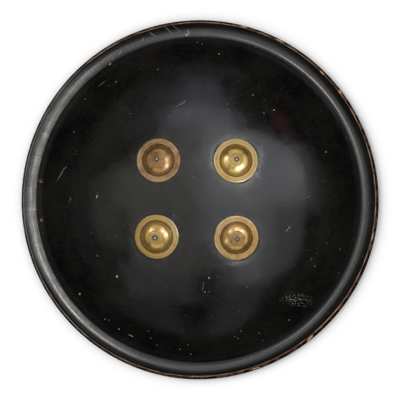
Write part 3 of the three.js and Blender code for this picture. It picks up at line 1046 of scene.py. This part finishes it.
def lacquer_material():
    """Black lacquer over hide: bare tan chips, scratches, a worn lip and a plain brown back."""
    n = Nodes("lacquered_hide")
    past = n.value("past_arris")
    back = n.span(past, *BACK_START)
    front = n.math("SUBTRACT", 1.0, back)
    flat = n.vector("MULTIPLY", n.where, (1, 1, 0))
    ray = n.vector("NORMALIZE", flat)
    away = n.vector("LENGTH", flat)

    # Black, faintly clouded
    cloud = n.noise(13, 5, 0.6)
    mottle = n.plus(n.noise(340, 3, 0.6), 0.45, n.times(cloud, 0.55))
    colour = n.mix(n.span(mottle, 0.38, 0.62), LACQUER_BLACK, LACQUER_CLOUDED)
    tint = n.marks(n.jitter(30, 12 * MM), on_front(BROWN_TINT), 0.8)
    colour = n.coat(colour, LACQUER_BROWN, tint, 0.7)

    # Gutter, with lines along it and rays across it
    side = n.toward(ray, WORN_AND_HIGHLIGHT_SIDE, 0.3, 0.95)
    wide_side = n.toward(ray, WIDE_SIDE, 0.6, 0.98)
    clean_side = n.toward(ray, CLEAN_SIDE, 0.3, 0.9)
    lift = n.node("ShaderNodeCombineXYZ", {"Z": n.times(away, 560)}).outputs[0]
    lines = n.noise(1, 4, 0.6, n.vector("ADD", n.vector("MULTIPLY", ray, (7, 7, 7)), lift))
    inward = n.plus(clean_side, CLEAN_INSET, away)
    outward = n.plus(wide_side, WIDE_REACH, away)
    outward = n.plus(clean_side, CLEAN_REACH, outward)
    outward = n.plus(lines, LINE_REACH, outward)
    gutter = n.times(n.span(inward, *GUTTER_INSIDE), n.span(outward, *GUTTER_OUTSIDE))
    gutter = n.times(gutter, n.span(lines, 0.34, 0.58, 0.55, 1.0))
    fine_rays = n.noise(260, 4, 0.75, ray)
    ray_patches = n.patches(40, 3, 0.5, 0.42, 0.60)
    rays = n.times(n.span(fine_rays, 0.54, 0.64), n.times(ray_patches, gutter), n.plus(side, 0.85, 0.15))
    dust = n.times(side, n.patches(90, 4, 0.6, 0.3, 0.7, 0.55, 1.0))
    dust = n.times(gutter, n.most(dust, 0.12), n.span(lines, 0.36, 0.60, 0.55, 1.1))
    colour = n.mix(gutter, colour, n.mix(side, GUTTER_PLAIN, GUTTER_WORN))
    colour = n.coat(colour, GUTTER_DUST, dust, 0.8)
    dark_rays = n.times(n.span(fine_rays, 0.46, 0.36), gutter, 0.5)
    colour = n.mix(dark_rays, colour, RAY_DARK)
    colour = n.coat(colour, RAY_PALE, rays, 0.6)

    # Haze round the bosses, partly painted sheen, and a rougher ring at each boss's edge
    bosses = 1.0
    for centre in BOSS_CENTRES.values():
        bosses = n.math("MINIMUM", bosses, n.vector("DISTANCE", flat, (*centre, 0)))
    # Polish residue with a painted reflection, where the lamps' reflections fall beside the right bosses
    polish = n.marks(n.jitter(90, 3 * MM), on_front(POLISH_AND_REFLECTION_HAZES), 0.8)
    polish = n.times(polish, n.patches(300, 4, 0.7, 0.36, 0.66, 0.15, 1.0))
    haze_and_sheen = n.times(n.span(bosses, *BOSS_HAZE), n.patches(120, 4, 0.55, 0.40, 0.70), 0.12)
    haze_and_sheen = n.most(haze_and_sheen, polish)
    colour = n.coat(colour, HAZE_AND_SHEEN_COLOUR, haze_and_sheen, 0.45)
    # A rougher ring at each boss's edge dulls the reflections there, like shade
    grime_and_shade = n.times(n.span(bosses, *BOSS_GRIME), n.patches(40, 2, 0.5, 0.35, 0.65, 0.2, 0.9), 0.9)

    # Chips, specks, grit and scratches
    wander = n.jitter(420, 0.9 * MM)
    chips = n.marks(wander, on_front(BARE_CHIPS))
    chips = n.plus(n.marks(wander, on_front(CHIP_MIDDLES)), -0.9, chips, clamp=True)
    specks = n.marks(wander, on_front([(x, y, size, size, 0) for x, y, size in PALE_SPECKS]))
    patch = n.marks(n.jitter(90, 4 * MM), on_front(SPECKLED_PATCH), 0.75)
    grit = n.times(n.patches(600, 3, 0.7, 0.57, 0.66), patch)
    stray = n.times(n.patches(430, 2, 0.5, 0.745, 0.775), n.span(cloud, 0.4, 0.6), 0.8)
    scratches = n.marks(n.jitter(260, 0.5 * MM), on_front(SCRATCHES), 0.5)
    scratches = n.times(scratches, n.patches(700, 3, 0.7, 0.40, 0.62))
    pale = n.most(n.times(specks, 0.7), grit, stray, n.times(scratches, 0.6))
    tone = n.noise(260, 4, 0.7)
    colour = n.coat(colour, PALE_COLOUR, pale, 0.75)
    colour = n.mix(chips, colour, n.mix(tone, HIDE_TAN, HIDE_PALE))

    # Lip: a worn arris with a painted highlight on its worn side, bare places on the cut edge and long worn
    # patches
    near_arris = n.plus(n.noise(330, 3, 0.7), 0.6, -0.2)
    from_arris = n.math("ABSOLUTE", n.math("ADD", past, near_arris))
    arris = n.patches(55, 4, 0.65, 0.34, 0.56, 0.25, 1.0)
    arris = n.times(n.span(from_arris, *ARRIS_WIDTH), arris)
    edge_bare = n.times(n.span(past, *EDGE_START), front, n.patches(85, 5, 0.75, 0.46, 0.60))
    wear = n.marks(n.jitter(200, 1.2 * MM), on_front(RIM_WEAR), 0.4)
    wear = n.times(wear, n.span(past, *WEAR_START))
    arris_and_highlight_colour = n.mix(n.patches(45, 3, 0.5, 0.35, 0.65), ARRIS_RED, ARRIS_TAN)
    # Painted highlight: the arris turns grey towards the worn side
    arris_and_highlight_colour = n.mix(n.times(side, 0.75), arris_and_highlight_colour, ARRIS_HIGHLIGHT_GREY)
    colour = n.coat(colour, HIDE_BROWN, edge_bare, 0.85)
    colour = n.coat(colour, arris_and_highlight_colour, arris, 0.9)
    colour = n.mix(n.times(wear, front), colour, n.mix(tone, WEAR_RED, WEAR_TAN))
    back_tone = n.noise(40, 6, 0.6)
    colour = n.mix(back, colour, n.mix(back_tone, BACK_DARK, BACK_PALE))

    # Gloss
    bare = n.most(chips, wear, arris, edge_bare)
    dull = n.most(bare, pale)
    gloss = n.patches(36, 5, 0.7, 0.3, 0.7, 0.14, 0.25)
    gloss = n.blend(gutter, gloss, 0.25)
    gloss = n.blend(n.times(haze_and_sheen, 0.4), gloss, 0.38)
    gloss = n.blend(n.most(dull, grime_and_shade), gloss, 0.62)
    gloss = n.blend(back, gloss, n.span(back_tone, 0.3, 0.7, 0.42, 0.62))
    metal = n.math("SUBTRACT", 0.95, n.most(dull, n.times(dust, 0.55)))
    metal = n.math("MULTIPLY", gutter, metal, clamp=True)

    # Relief
    swell = n.times(n.noise(70, 3), 0.08 * MM)
    swell = n.plus(n.noise(430, 3, 0.6), 0.007 * MM, swell)
    swell = n.plus(n.times(n.noise(24, 2), n.span(away, *DOME_SWELL)), 0.32 * MM, swell)
    swell = n.plus(n.span(bosses, *BOSS_SEAT), 0.05 * MM, swell)
    swell = n.plus(n.times(lines, gutter), 0.012 * MM, swell)
    swell = n.plus(bare, -0.22 * MM, swell)
    swell = n.plus(n.most(scratches, rays), -0.03 * MM, swell)
    swell = n.plus(n.times(back, n.noise(420, 4, 0.6)), 0.16 * MM, swell)
    n.shader.inputs["IOR"].default_value = 1.5
    return n.finish(colour, gloss, metal, swell)


# Brass of each boss: colours, patina, sides in degrees of its painted sheen and painted glint, and marks
# (x, y, length, width, turn) in mm
BRASS_LOOKS = {
    "upper_left": {
        "flange": (0.68, 0.44, 0.19), "cap": (0.78, 0.46, 0.16), "deep": (0.26, 0.125, 0.04),
        "patina": 0.75, "rough": 0.34, "pale_side": 200, "glint": 225,
        "red": (
            (1, -9, 12, 7, 20), (-6, 8, 10, 7, 60), (9, 9, 8, 6, 0),
            (-18, -18, 14, 7, -45), (17, 19, 12, 5, -45),
        ),
        "dark": (
            (4, -13, 4, 2.5, 30), (-7, -6, 5, 2, 50), (24, -9, 10, 3.5, 70), (8, 25, 9, 3, -15),
            (-12, -3, 7, 3, 80), (9, -7, 5, 2, -40), (-3, 9, 6, 2, 10), (13, 4, 5, 2, 75),
        ),
    },
    "upper_right": {
        "flange": (0.88, 0.62, 0.26), "cap": (0.93, 0.64, 0.22), "deep": (0.5, 0.31, 0.06),
        "patina": 0.3, "rough": 0.34, "pale_side": 60, "glint": -45,
        "red": (),
        "dark": ((-25.4, 3.2, 6.5, 4.2, 75), (8, 10, 6, 3, 120)),
    },
    "lower_left": {
        "flange": (0.62, 0.4, 0.13), "cap": (0.86, 0.56, 0.18), "deep": (0.44, 0.26, 0.055),
        "patina": 0.4, "rough": 0.36, "pale_side": 5, "glint": 15,
        "red": ((11.5, 11, 9, 4.5, -45),),
        "dark": ((23, -11, 3, 2, 20),),
    },
    "lower_right": {
        "flange": (0.9, 0.6, 0.235), "cap": (0.88, 0.57, 0.19), "deep": (0.36, 0.2, 0.045),
        "patina": 0.6, "rough": 0.36, "pale_side": 170, "glint": 120,
        "red": ((-9, -3, 8, 6, 30), (-12, 5, 6, 5, 0)),
        "dark": (
            (-6, -7.5, 11, 4, 150), (-5.5, 5, 6, 1.8, 45), (5, -6, 5, 1.6, 60), (-8, -4, 7, 3, 90),
            (3.5, 8, 7, 2, -30), (8.5, 1.5, 6, 1.6, 90),
        ),
    },
}
BRASS_RED = (0.46, 0.19, 0.095)
BRASS_DARK = (0.030, 0.018, 0.008)
# Painted sheen on one side of a flange
BRASS_SHEEN_PALE = (0.95, 0.76, 0.44)
BRASS_GLINT = (1.0, 0.88, 0.62)

# Distances from a boss's middle in mm, where its parts, its painted shade and its painted glint start and
# are full
ON_CAP = (21.6, 20.4)
ON_FLANGE = (20.8, 21.6)
CAP_FLANK_SHADE = (11, 19.5)
GLINT_EDGE = (28.7, 29.6)


def brass_material(corner, number):
    look = BRASS_LOOKS[corner]
    patina, rough, deep = look["patina"], look["rough"], look["deep"]
    n = Nodes("brass_" + corner)
    local = n.local(n.where, boss_frame(corner))
    n.where = n.vector("ADD", n.where, (3.7 * number, 1.9, 0.6))
    ray = n.vector("NORMALIZE", n.vector("MULTIPLY", local, (1, 1, 0)))
    radius = n.value("radius_mm")
    on_cap = n.span(radius, *ON_CAP)

    def facing(azimuth, low, high):
        return n.toward(ray, polar(1, math.radians(azimuth)), low, high)

    # Brass under patches of patina, with a painted sheen on one side of the flange
    tone = n.noise(120, 5, 0.62)
    broad = n.patches(55, 3, 0.5, 0.35, 0.65, 0.0, 0.15 + 0.3 * patina)
    patches = n.plus(n.span(tone, 0.62 - 0.28 * patina, 0.74), 0.2 + 0.6 * patina, broad, clamp=True)
    bright = n.mix(on_cap, look["flange"], look["cap"])
    # Painted sheen: one side of the flange is paler
    pale_side_sheen = n.times(facing(look["pale_side"], -0.5, 1.0), n.span(radius, *ON_FLANGE), 0.35)
    bright = n.mix(pale_side_sheen, bright, BRASS_SHEEN_PALE)
    colour = n.mix(patches, bright, deep)
    # Painted shade: the cap's steep flank darkens towards its foot
    colour = n.coat(colour, deep, n.span(radius, *CAP_FLANK_SHADE), on_cap, 0.40)

    # Turned rings, broad and fine
    turning = n.rings(n.math("ADD", radius, 7.3 * number), 2.6, 4)
    bands = n.rings(n.math("ADD", radius, 3.1 * number), 0.5, 2)
    colour = n.mix(n.span(turning, 0.62, 0.40, 0.0, 0.25), colour, deep)
    colour = n.mix(n.span(bands, 0.58, 0.38, 0.0, 0.35), colour, deep)

    # Red and dark marks, pits, and darkening in the recesses: grime with painted shade
    wander = n.jitter(300, 1.1 * MM, local)
    if look["red"]:
        red = n.marks(wander, on_boss(look["red"]), 0.7)
        red = n.times(red, n.patches(330, 4, 0.6, 0.35, 0.6))
        colour = n.coat(colour, BRASS_RED, red, 0.8)
    dark = n.marks(wander, on_boss(look["dark"]), 0.6)
    dark = n.times(dark, n.patches(480, 3, 0.6, 0.36, 0.6))
    pits = n.patches(850, 3, 0.6, 0.66, 0.74)
    # Painted shade with grime, as dark as the profile's recess value
    grime_and_shade = n.times(n.value("recess"), n.patches(260, 3, 0.6, 0.2, 0.55, 0.55, 1.0))
    dirt_and_shade = n.most(n.times(dark, 0.8), n.times(pits, 0.4), n.times(grime_and_shade, 0.92))
    colour = n.mix(dirt_and_shade, colour, BRASS_DARK)

    # Painted glint on the flange's edge at one side
    glint = n.times(facing(look["glint"], 0.70, 0.90), n.span(radius, *GLINT_EDGE))
    glint = n.times(glint, n.span(tone, 0.36, 0.48))
    colour = n.coat(colour, BRASS_GLINT, glint, 0.85)

    gloss = n.patches(200, 5, 0.6, 0.3, 0.7, rough - 0.05, rough + 0.06)
    gloss = n.blend(dirt_and_shade, gloss, 0.7)
    metal = n.plus(dirt_and_shade, -0.55, 1.0)
    height = n.times(turning, 0.010 * MM)
    height = n.plus(n.noise(260, 4, 0.6), 0.05 * MM, height)
    height = n.plus(pits, -0.03 * MM, height)
    return n.finish(colour, gloss, metal, height)


# Other colours
IRON_DARK = (0.055, 0.042, 0.034)
IRON_BROWN = (0.17, 0.145, 0.125)
IRON_RUST = (0.16, 0.062, 0.025)
IRON_BRIGHT = (0.62, 0.61, 0.60)
LEATHER_DARK = (0.045, 0.020, 0.010)
LEATHER_BROWN = (0.105, 0.050, 0.025)
LEATHER_WORN = (0.17, 0.095, 0.055)
THREAD_DARK = (0.20, 0.13, 0.07)
THREAD_PALE = (0.38, 0.28, 0.17)
PAPER_GREY = (0.855, 0.855, 0.855)
PAPER_PALE = (0.865, 0.865, 0.865)


def iron_material(name, polished):
    """Forged iron, brown with age. Where polished, the value on the vertices bares bright metal."""
    n = Nodes(name)
    tone = n.noise(240, 5, 0.65)
    colour = n.mix(n.span(tone, 0.35, 0.65), IRON_DARK, IRON_BROWN)
    rust = n.patches(130, 5, 0.7, 0.55, 0.7)
    colour = n.coat(colour, IRON_RUST, rust, 0.6)
    gloss = n.span(tone, 0.3, 0.7, 0.42, 0.66)
    metal = n.plus(rust, -0.5, 0.85)
    if polished:
        bright = n.times(n.value("polish"), n.patches(900, 3, 0.5, 0.25, 0.5, 0.55, 1.0))
        colour = n.mix(bright, colour, IRON_BRIGHT)
        gloss = n.blend(bright, gloss, 0.28)
        metal = n.blend(bright, metal, 1.0)
    height = n.times(n.noise(520, 4, 0.6), 0.09 * MM)
    return n.finish(colour, gloss, metal, height)


def leather_material():
    n = Nodes("grip_leather")
    tone = n.noise(60, 5, 0.6)
    colour = n.mix(n.span(tone, 0.35, 0.65), LEATHER_DARK, LEATHER_BROWN)
    worn = n.patches(180, 4, 0.7, 0.58, 0.70)
    colour = n.coat(colour, LEATHER_WORN, worn, 0.4)
    cells = n.node("ShaderNodeTexVoronoi", {"Vector": n.jitter(500, 0.4 * MM), "Scale": 900.0})
    height = n.times(cells.outputs["Distance"], 0.12 * MM)
    height = n.plus(n.noise(150, 4, 0.6), 0.2 * MM, height)
    return n.finish(colour, n.span(tone, 0.3, 0.7, 0.5, 0.68), height=height)


def thread_material():
    n = Nodes("waxed_thread")
    colour = n.mix(n.noise(500, 3), THREAD_DARK, THREAD_PALE)
    height = n.times(n.noise(2500, 2), 0.05 * MM)
    return n.finish(colour, 0.7, height=height)


def floor_material():
    n = Nodes("floor_paper")
    n.shader.inputs["Specular IOR Level"].default_value = 0.1
    return n.finish(n.mix(n.noise(3, 2), PAPER_GREY, PAPER_PALE), 0.9)


# Studio
FLOOR_RADIUS = 40
FLOOR_SIDES = 96


def make_floor():
    rim = [polar(FLOOR_RADIUS, TAU * i / FLOOR_SIDES) for i in range(FLOOR_SIDES)]
    mesh = bpy.data.meshes.new("floor")
    mesh.from_pydata(rim, [], [tuple(range(FLOOR_SIDES))])
    floor = bpy.data.objects.new("floor", mesh)
    bpy.context.collection.objects.link(floor)
    floor.data.materials.append(floor_material())
    floor.visible_glossy = False


def add_light(name, data, only=None):
    made = bpy.data.objects.new(name, data)
    bpy.context.collection.objects.link(made)
    made.visible_camera = False
    if only:
        group = bpy.data.collections.new(name + "_lights")
        for piece in only:
            group.objects.link(piece)
        made.light_linking.receiver_collection = group
    return made


def area_light(name, centre, size, radiance, target=None, colour=(1, 1, 1), only=None):
    """A soft box that looks at target, or straight down. Radiance is the brightness of its face."""
    light = bpy.data.lights.new(name, "AREA")
    light.shape = "RECTANGLE"
    light.size, light.size_y = size
    light.energy = radiance * math.pi * size[0] * size[1]
    light.color = colour
    made = add_light(name, light, only)
    centre = Vector(centre)
    target = Vector(target) if target else Vector((centre.x, centre.y, 0))
    made.location = centre
    made.rotation_euler = (target - centre).to_track_quat("-Z", "Y").to_euler()


def sun_light(name, azimuth, elevation, strength, width):
    """Distant soft light that leaves no reflection. Azimuth 0 is +X, and it grows towards +Y."""
    light = bpy.data.lights.new(name, "SUN")
    light.energy = strength
    light.angle = math.radians(width)
    made = add_light(name, light)
    rise = math.radians(elevation)
    direction = polar(math.cos(rise), math.radians(azimuth), math.sin(rise))
    made.rotation_euler = (-direction).to_track_quat("-Z", "Y").to_euler()
    made.visible_glossy = False


DIM_STUDIO = (0.02, 0.02, 0.021, 1)
PALE_BACKDROP = (0.95, 0.95, 0.95, 1)


def make_world():
    """A pale backdrop for the camera, and a dim studio in the reflections."""
    world = bpy.data.worlds.new("studio")
    world.use_nodes = True
    tree = world.node_tree
    tree.nodes.clear()
    mix = tree.nodes.new("ShaderNodeMixShader")
    path = tree.nodes.new("ShaderNodeLightPath")
    tree.links.new(path.outputs["Is Camera Ray"], mix.inputs[0])
    for slot, colour in ((1, DIM_STUDIO), (2, PALE_BACKDROP)):
        background = tree.nodes.new("ShaderNodeBackground")
        background.inputs["Color"].default_value = colour
        tree.links.new(background.outputs[0], mix.inputs[slot])
    output = tree.nodes.new("ShaderNodeOutputWorld")
    tree.links.new(mix.outputs[0], output.inputs[0])
    bpy.context.scene.world = world


CEILING = 1.9
COOL = (0.92, 0.96, 1.12)
PLAIN = (0.97, 0.99, 1.03)
WARM = (1.03, 1.0, 0.91)

# Soft boxes at the ceiling: name, middle (x, y), size (x, y), radiance, colour
CEILING_LIGHTS = (
    ("arm", (0, 1.25), (1, 0.5), 1.6, COOL),
    ("upper_arm", (0.02, 2.05), (0.85, 1.1), 0.75, COOL),
    ("far_arm", (-0.05, 3.1), (1.1, 1), 0.5, COOL),
    ("arm_side", (-0.75, 1.7), (0.7, 1.4), 0.28, COOL),
    ("near_right", (0.5, 0.5), (1, 1), 1.85, PLAIN),
    ("right", (1.52, 0.48), (1.05, 0.95), 2.15, PLAIN),
    ("far_right", (2.5, 0.5), (0.85, 1.5), 0.42, PLAIN),
    ("centre", (-0.3, 0.48), (0.6, 0.95), 0.9, WARM),
    ("centre_left", (-0.95, 0.25), (0.7, 0.5), 1, WARM),
    ("middle_left", (-0.5, -0.5), (1, 1), 0.75, WARM),
    ("left", (-1.6, -0.12), (1, 1.25), 0.46, WARM),
    ("below", (0.25, -0.25), (0.5, 0.5), 1.4, PLAIN),
    ("below_gap", (0.34, -0.95), (0.3, 0.9), 0.4, PLAIN),
    ("lower_right", (0.75, -0.7), (0.5, 1.4), 1.4, PLAIN),
    ("low_right", (1.5, -0.75), (1, 1.5), 0.7, PLAIN),
    ("lower", (-0.8, -1.45), (1.4, 0.9), 0.46, PLAIN),
    ("bottom", (-1.15, -3.5), (1.3, 3.3), 0.24, PLAIN),
    ("bottom_right", (0.8, -3.35), (1.1, 3.7), 0.3, PLAIN),
    ("far_bottom", (-2.6, -3.6), (1.6, 1.8), 0.14, PLAIN),
    ("upper_left_glow", (-2, 2.2), (2.2, 2.8), 0.16, WARM),
    ("left_glow", (-3.1, -0.4), (1.8, 3.2), 0.11, PLAIN),
    ("top_glow", (0.2, 4.6), (2.6, 1.6), 0.22, PLAIN),
    ("right_glow", (3.6, -0.6), (1.2, 3.4), 0.1, WARM),
)
# Lamps, whose reflections lie mostly under the two right bosses: name, middle, size, radiance
LAMPS = (
    ("upper_lamp", (0.42, 0.46), (0.3, 0.3), 15),
    ("lower_lamp", (0.46, -0.6), (0.28, 0.28), 7),
)
SKY_SIZE = (2.6, 2.6)
SKY_RADIANCE = 0.75
WALL_REACH = 1.9
WALL_SIZE = (3.0, 1.4)
WALL_HEIGHT = 0.85
WALL_RADIANCES = (1.0, 0.75, 0.65, 0.9)
WALL_TARGET = (0, 0, 0.1)

# Soft daylight, mostly from above and from the left: name, azimuth, elevation, strength, width in degrees
FILLS = (
    ("left_fill", 165, 45, 1.6, 50),
    ("upper_fill", 65, 45, 0.65, 50),
    ("lower_fill", 245, 45, 0.75, 50),
    ("right_fill", 335, 45, 0.3, 50),
    ("top_fill", 150, 82, 1.36, 150),
)

# Highlights on the caps, in photo pixels from the middle of each cap's sphere: (x, y, radiance)
CAP_SPHERE_PIXELS = 17.4
HIGHLIGHTS = {
    "upper_left": ((7.5, -1.1, 3.8), (8, 5.5, 6.5), (3.5, -4.5, 2)),
    "upper_right": ((2.8, 7.6, 7), (6.5, 5.6, 5), (-8.6, -1.6, 4)),
    "lower_left": ((9.3, -1.5, 5.5), (6, -5.8, 5.5), (-5.2, -6.2, 4)),
    "lower_right": ((1.5, -7.6, 4), (6.2, -5.6, 6), (-5.5, -6, 3.5), (-8.5, 4.5, 3)),
}
HIGHLIGHT_REACH = 0.9
HIGHLIGHT_SIZE = (0.30, 0.30)
HIGHLIGHT_COLOUR = (0.85, 1.0, 1.9)


def highlight_direction(centre, x, y):
    """The way to a light that a cap reflects to the camera at this offset from its middle."""
    flat = Vector((x, -y)) / CAP_SPHERE_PIXELS
    normal = Vector((flat.x, flat.y, math.sqrt(1 - flat.length_squared)))
    view = (CAMERA_PLACE - centre).normalized()
    return 2 * normal.dot(view) * normal - view


def make_lights(shell, bosses, bolts):
    metal = [*bosses.values(), *bolts]
    for name, (x, y), size, radiance, colour in CEILING_LIGHTS:
        area_light(name, (x, y, CEILING), size, radiance, colour=colour, only=[shell])
    for name, (x, y), size, radiance in LAMPS:
        area_light(name, (x, y, CEILING), size, radiance, (0, 0, 0), only=[shell])
    area_light("metal_sky", (0, 0, CEILING), SKY_SIZE, SKY_RADIANCE, only=metal)
    for i, radiance in enumerate(WALL_RADIANCES):
        wall = polar(WALL_REACH, TAU * i / 4, WALL_HEIGHT)
        area_light("metal_wall_" + str(i), wall, WALL_SIZE, radiance, WALL_TARGET, only=metal)
    for corner, spots in HIGHLIGHTS.items():
        centre = boss_frame(corner).to_translation()
        for i, (x, y, radiance) in enumerate(spots):
            place = centre + HIGHLIGHT_REACH * highlight_direction(centre, x, y)
            name = "highlight_" + corner + "_" + str(i)
            area_light(name, place, HIGHLIGHT_SIZE, radiance, centre, HIGHLIGHT_COLOUR, [bosses[corner]])
    for fill in FILLS:
        sun_light(*fill)


bpy.context.scene.view_settings.view_transform = "Standard"
make_camera()
make_world()
make_floor()

shell = make_hide_shell()
shell.data.materials.append(lacquer_material())
bolt_iron = iron_material("bolt_iron", True)
ring_iron = iron_material("ring_iron", False)
bars, bosses, bolts = {}, {}, []
for number, corner in enumerate(BOSS_CENTRES):
    boss = make_boss(corner, number)
    boss.data.materials.append(brass_material(corner, number))
    bolt, eye_centre = make_ring_bolt(corner, number)
    bolt.data.materials.append(bolt_iron)
    ring, bars[corner] = make_ring(corner, eye_centre, number)
    ring.data.materials.append(ring_iron)
    bosses[corner] = boss
    bolts.append(bolt)

leather = leather_material()
thread = thread_material()
for number, side in enumerate(("left", "right")):
    strap, matrix, half = make_strap(side, bars["upper_" + side], bars["lower_" + side], number)
    strap.data.materials.append(leather)
    stitching = make_stitching(side, matrix, half)
    stitching.data.materials.append(thread)

make_lights(shell, bosses, bolts)
